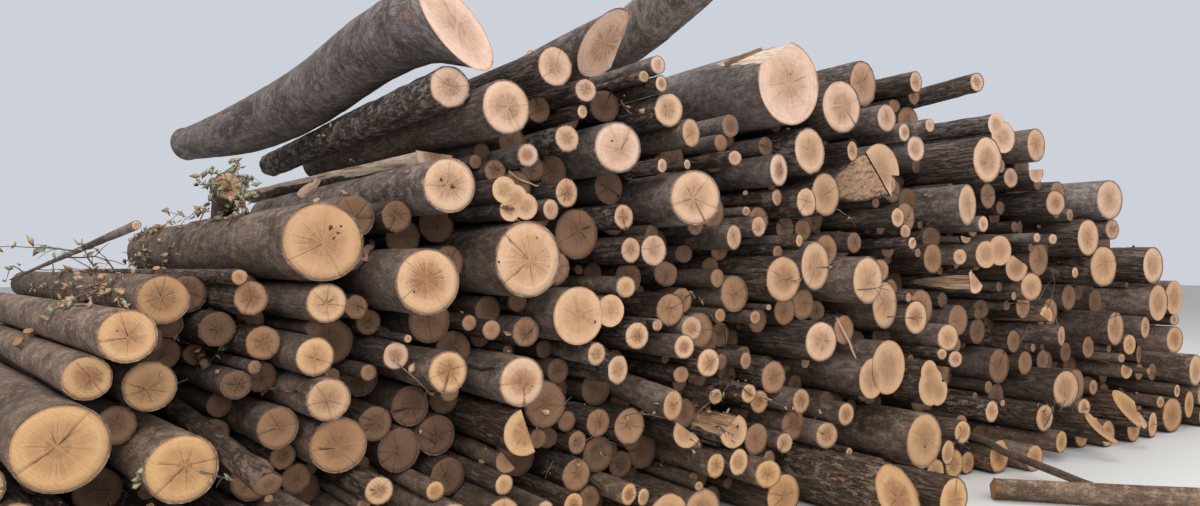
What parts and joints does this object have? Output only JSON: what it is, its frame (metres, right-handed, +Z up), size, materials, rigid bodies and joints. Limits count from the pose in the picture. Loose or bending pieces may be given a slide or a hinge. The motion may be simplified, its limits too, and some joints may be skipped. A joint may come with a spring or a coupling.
{
  "type": "stack of logs",
  "caption": "Long loose stack of round logs of mixed thickness, laid side by side and piled on the ground with sloping ends.",
  "frame": {"origin": "middle of the stack's footprint, on the ground", "axes": "+X along the front of the stack to the right, +Y into the stack along the logs, +Z up"},
  "size_m": [11.5475, 5.351, 3.3381],
  "materials": {
    "timber": "rough bark with sawn ends"
  },
  "bodies": {
    "root": {"bay_1_logs_a": "timber", "bay_1_logs_b": "timber", "bay_1_logs_c": "timber", "bay_2_logs_a": "timber", "bay_2_logs_b": "timber", "bay_2_logs_c": "timber", "bay_2_logs_d": "timber", "bay_3_logs_a": "timber", "bay_3_logs_b": "timber", "bay_3_logs_c": "timber", "bay_3_logs_d": "timber", "bay_4_logs_a": "timber", "bay_4_logs_b": "timber", "bay_4_logs_c": "timber", "bay_4_logs_d": "timber", "bay_5_logs_a": "timber", "bay_5_logs_b": "timber", "bay_5_logs_c": "timber", "bay_5_logs_d": "timber", "bay_6_logs_a": "timber", "bay_6_logs_b": "timber", "bay_6_logs_c": "timber", "bay_6_logs_d": "timber", "bay_7_logs_a": "timber", "bay_7_logs_b": "timber", "bay_7_logs_c": "timber", "bay_7_logs_d": "timber", "bay_8_logs_a": "timber", "bay_8_logs_b": "timber", "bay_8_logs_c": "timber", "bay_8_logs_d": "timber", "bent_trunk": "timber", "forked_butt": "timber", "forked_logs": "timber", "ground_split_log": "timber", "high_trunk": "timber", "leaning_post": "timber", "notched_butt": "timber", "short_offcut": "timber", "slanted_trunk": "timber", "split_slab": "timber", "torn_top_log": "timber", "wedge_butt": "timber"}
  },
  "joints": []
}
